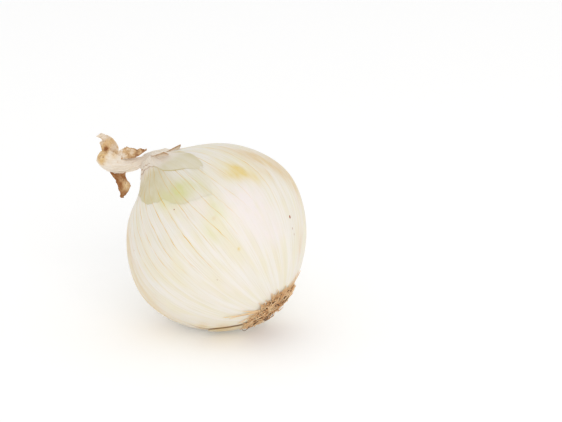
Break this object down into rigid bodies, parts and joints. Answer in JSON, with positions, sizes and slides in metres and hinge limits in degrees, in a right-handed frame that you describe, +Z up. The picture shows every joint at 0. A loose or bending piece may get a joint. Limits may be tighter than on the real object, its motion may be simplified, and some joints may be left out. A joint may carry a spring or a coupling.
{
  "type": "onion",
  "caption": "Whole white onion with dry bent neck, torn papery skin round the shoulder and a root tuft, lying on its side for kitchen and food scenes.",
  "frame": {"origin": "the point on the ground right below the middle of the bulb, in the small flat spot that the onion rests on", "axes": "+Z up, +X to the right along the onion's longest side, from the neck end to the root end, and -Y towards the viewer, where the bulb's side and the roots show"},
  "size_m": [0.0949, 0.0836, 0.083],
  "materials": {
    "bulb": "satin",
    "skin_collar": "satin",
    "loose_flake": "matte",
    "neck": "matte",
    "roots": "matte"
  },
  "bodies": {
    "root": {"bulb": "bulb", "skin_collar": "skin_collar", "loose_flake": "loose_flake", "neck": "neck", "roots": "roots"}
  },
  "joints": []
}
